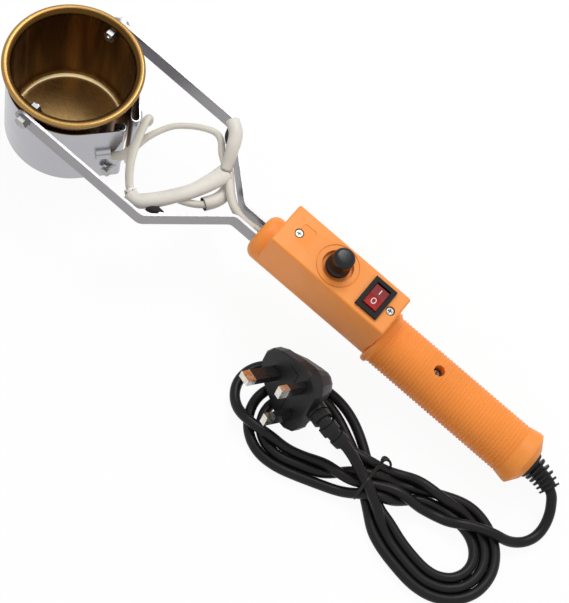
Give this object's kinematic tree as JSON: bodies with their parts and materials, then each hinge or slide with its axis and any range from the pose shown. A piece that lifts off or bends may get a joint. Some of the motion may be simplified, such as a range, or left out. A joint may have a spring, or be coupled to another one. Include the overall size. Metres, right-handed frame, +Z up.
{
  "type": "solder pot",
  "caption": "Hand-held solder pot: round crucible with band heater on two bent steel arms, moulded handle with heat dial, rocker switch, mains lead and plug.",
  "frame": {"origin": "centre of the crucible's flat base, on the surface that the pot and the grip's tail flange stand on", "axes": "+Z up along the crucible's axis; +X from the crucible along the handle to its tail; +Y completes the right hand, with the mains lead and plug on the -Y side"},
  "size_m": [0.4172, 0.1429, 0.0828],
  "materials": {
    "brass_cup": "satin drawn, gold-bronze coating",
    "mica": "pressed mica board",
    "polished_steel": "bright polished sheet",
    "zinc": "bright zinc plate",
    "strip_steel": "nickel plated strip",
    "block_aluminium": "milled",
    "orange_moulding": "satin moulded",
    "knob_black": "satin",
    "control_case": "pressed can",
    "switch_black": "gloss",
    "rocker_red": "gloss",
    "board_green": "solder mask",
    "chip_black": "moulded case",
    "terminal_green": "moulded",
    "clamp_white": "moulded",
    "lead_black": "satin",
    "relief_black": "satin",
    "tie_black": "satin",
    "plug_black": "fine textured",
    "pin_brass": "nickel washed",
    "fuse_white": "glazed",
    "glass_sleeve": "braided glass fibre",
    "thread_white": "waxed thread"
  },
  "bodies": {
    "pot_and_handle": {"crucible": "brass_cup", "heater_band": "mica", "heater_sheath": "polished_steel", "clamp_screw": "zinc", "clamp_nut": "zinc", "arm_near": "strip_steel", "arm_far": "strip_steel", "pot_bolts": "zinc", "pot_spacers": "zinc", "pot_nuts": "zinc", "arm_block": "block_aluminium", "arm_screws": "zinc", "handle_top": "orange_moulding", "handle_base": "orange_moulding", "case_screws": "zinc", "grip_screw": "zinc", "dial_control": "control_case", "dial_nut": "zinc", "switch_body": "switch_black", "control_board": "board_green", "triac": "chip_black", "heat_sink": "block_aluminium", "terminal_block": "terminal_green", "lead_clamp": "clamp_white", "clamp_screws": "zinc", "inner_lead": "lead_black", "strain_relief": "relief_black", "mains_lead": "lead_black", "lead_hank": "lead_black", "lead_tail": "lead_black", "lead_tie": "tie_black", "plug_body": "plug_black", "plug_pins": "pin_brass", "plug_sleeve": "relief_black", "fuse_carrier": "plug_black", "fuse": "fuse_white", "sleeve_near": "glass_sleeve", "sleeve_far": "glass_sleeve", "sleeve_handle": "glass_sleeve", "sleeve_joint": "glass_sleeve", "splice_near": "glass_sleeve", "splice_far": "glass_sleeve", "splice_open": "glass_sleeve", "sleeve_ties": "thread_white"},
    "dial": {"dial_knob": "knob_black", "dial_shaft": "zinc"},
    "rocker": {"switch_rocker": "rocker_red"}
  },
  "joints": [
    {"name": "heat_dial", "type": "hinge", "parent": "pot_and_handle", "child": "dial", "pos_m": [0.19007, 0, 0.0684], "axis": [0.124, 0, 0.9923], "range_deg": [-270, 0]},
    {"name": "power_switch", "type": "hinge", "parent": "pot_and_handle", "child": "rocker", "pos_m": [0.21716, 0, 0.0634], "axis": [0.9923, 0, -0.124], "range_deg": [-18, 0]}
  ]
}
